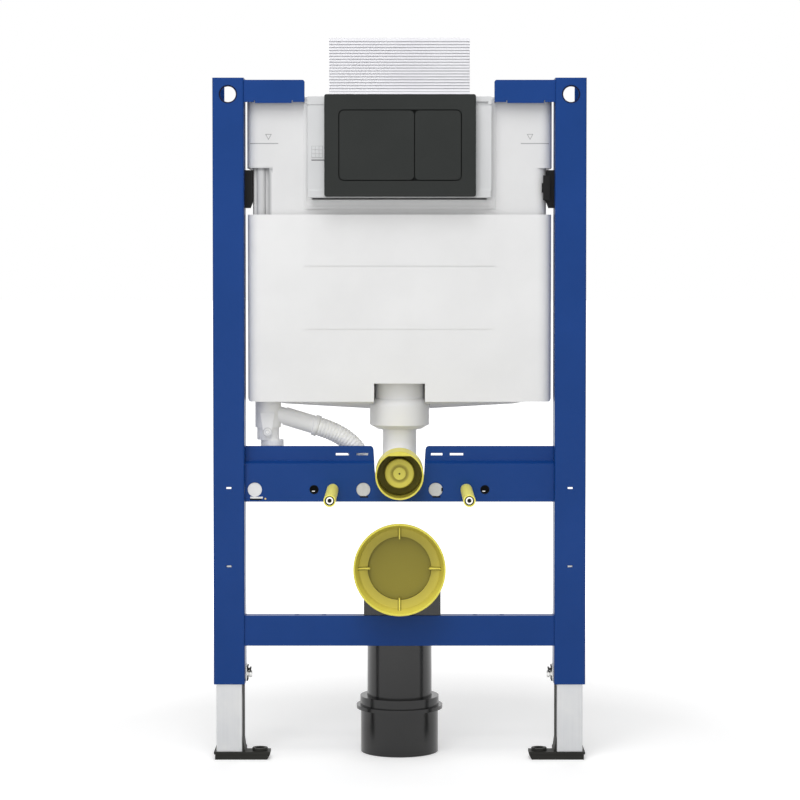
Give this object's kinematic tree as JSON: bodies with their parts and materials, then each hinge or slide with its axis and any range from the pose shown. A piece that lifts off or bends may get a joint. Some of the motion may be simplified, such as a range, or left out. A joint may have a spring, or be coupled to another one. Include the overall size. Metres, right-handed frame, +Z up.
{
  "type": "wall hung toilet installation frame",
  "caption": "Blue steel frame with telescopic legs that carries a concealed cistern, flush plate, flush pipe, drain bend and pan studs.",
  "frame": {"origin": "on the floor, under the middle of the frame's width and of the whole depth", "axes": "+X to the right seen from the front, +Y back towards the wall, +Z up"},
  "size_m": [0.5, 0.271, 0.97],
  "materials": {
    "blue_powder_coat": "satin powder coat",
    "galvanised_steel": "bright galvanised",
    "zinc_fasteners": "zinc plated",
    "black_foot": "matt moulded",
    "black_clip": "matt moulded",
    "white_cistern": "satin blow moulded",
    "white_box": "satin ribbed",
    "white_fittings": "soft gloss",
    "grey_plugs": "satin",
    "anthracite_plate": "fine matt",
    "black_drain": "satin moulded",
    "yellow_caps": "soft satin",
    "yellow_sleeves": "soft satin"
  },
  "bodies": {
    "frame": {"left_post": "blue_powder_coat", "right_post": "blue_powder_coat", "left_top_arm": "blue_powder_coat", "right_top_arm": "blue_powder_coat", "middle_crossbar": "blue_powder_coat", "lower_crossbar": "blue_powder_coat", "left_clamp_screw": "zinc_fasteners", "right_clamp_screw": "zinc_fasteners", "left_stud": "zinc_fasteners", "right_stud": "zinc_fasteners", "left_side_clip": "black_clip", "right_side_clip": "black_clip", "tank_body": "white_cistern", "tank_hood": "white_cistern", "service_frame": "white_cistern", "protection_box": "white_box", "outlet_collar": "white_fittings", "flush_bend": "white_fittings", "supply_fitting": "white_fittings", "conduit_hose": "white_fittings", "water_hole_plug": "white_fittings", "conduit_socket": "grey_plugs", "right_hole_plug": "grey_plugs", "flush_plate": "anthracite_plate", "drain_bend": "black_drain", "drain_coupling": "black_drain", "drain_bracket": "black_drain", "flush_cap": "yellow_caps", "drain_cap": "yellow_caps", "left_stud_sleeve": "yellow_sleeves", "right_stud_sleeve": "yellow_sleeves"},
    "left_telescopic_leg": {"left_leg": "galvanised_steel", "left_foot": "black_foot"},
    "right_telescopic_leg": {"right_leg": "galvanised_steel", "right_foot": "black_foot"},
    "full_flush": {"full_flush_button": "anthracite_plate"},
    "small_flush": {"small_flush_button": "anthracite_plate"}
  },
  "joints": [
    {"name": "left_leg_slide", "type": "slide", "parent": "frame", "child": "left_telescopic_leg", "axis": [0, 0, -1], "range_m": [-0.066, 0.108]},
    {"name": "right_leg_slide", "type": "slide", "parent": "frame", "child": "right_telescopic_leg", "axis": [0, 0, -1], "range_m": [-0.066, 0.108]},
    {"name": "full_flush_press", "type": "slide", "parent": "frame", "child": "full_flush", "axis": [0, 1, 0], "range_m": [0, 0.004], "stiffness_N_per_m": 600, "springref_m": -0.003},
    {"name": "small_flush_press", "type": "slide", "parent": "frame", "child": "small_flush", "axis": [0, 1, 0], "range_m": [0, 0.004], "stiffness_N_per_m": 600, "springref_m": -0.003}
  ]
}
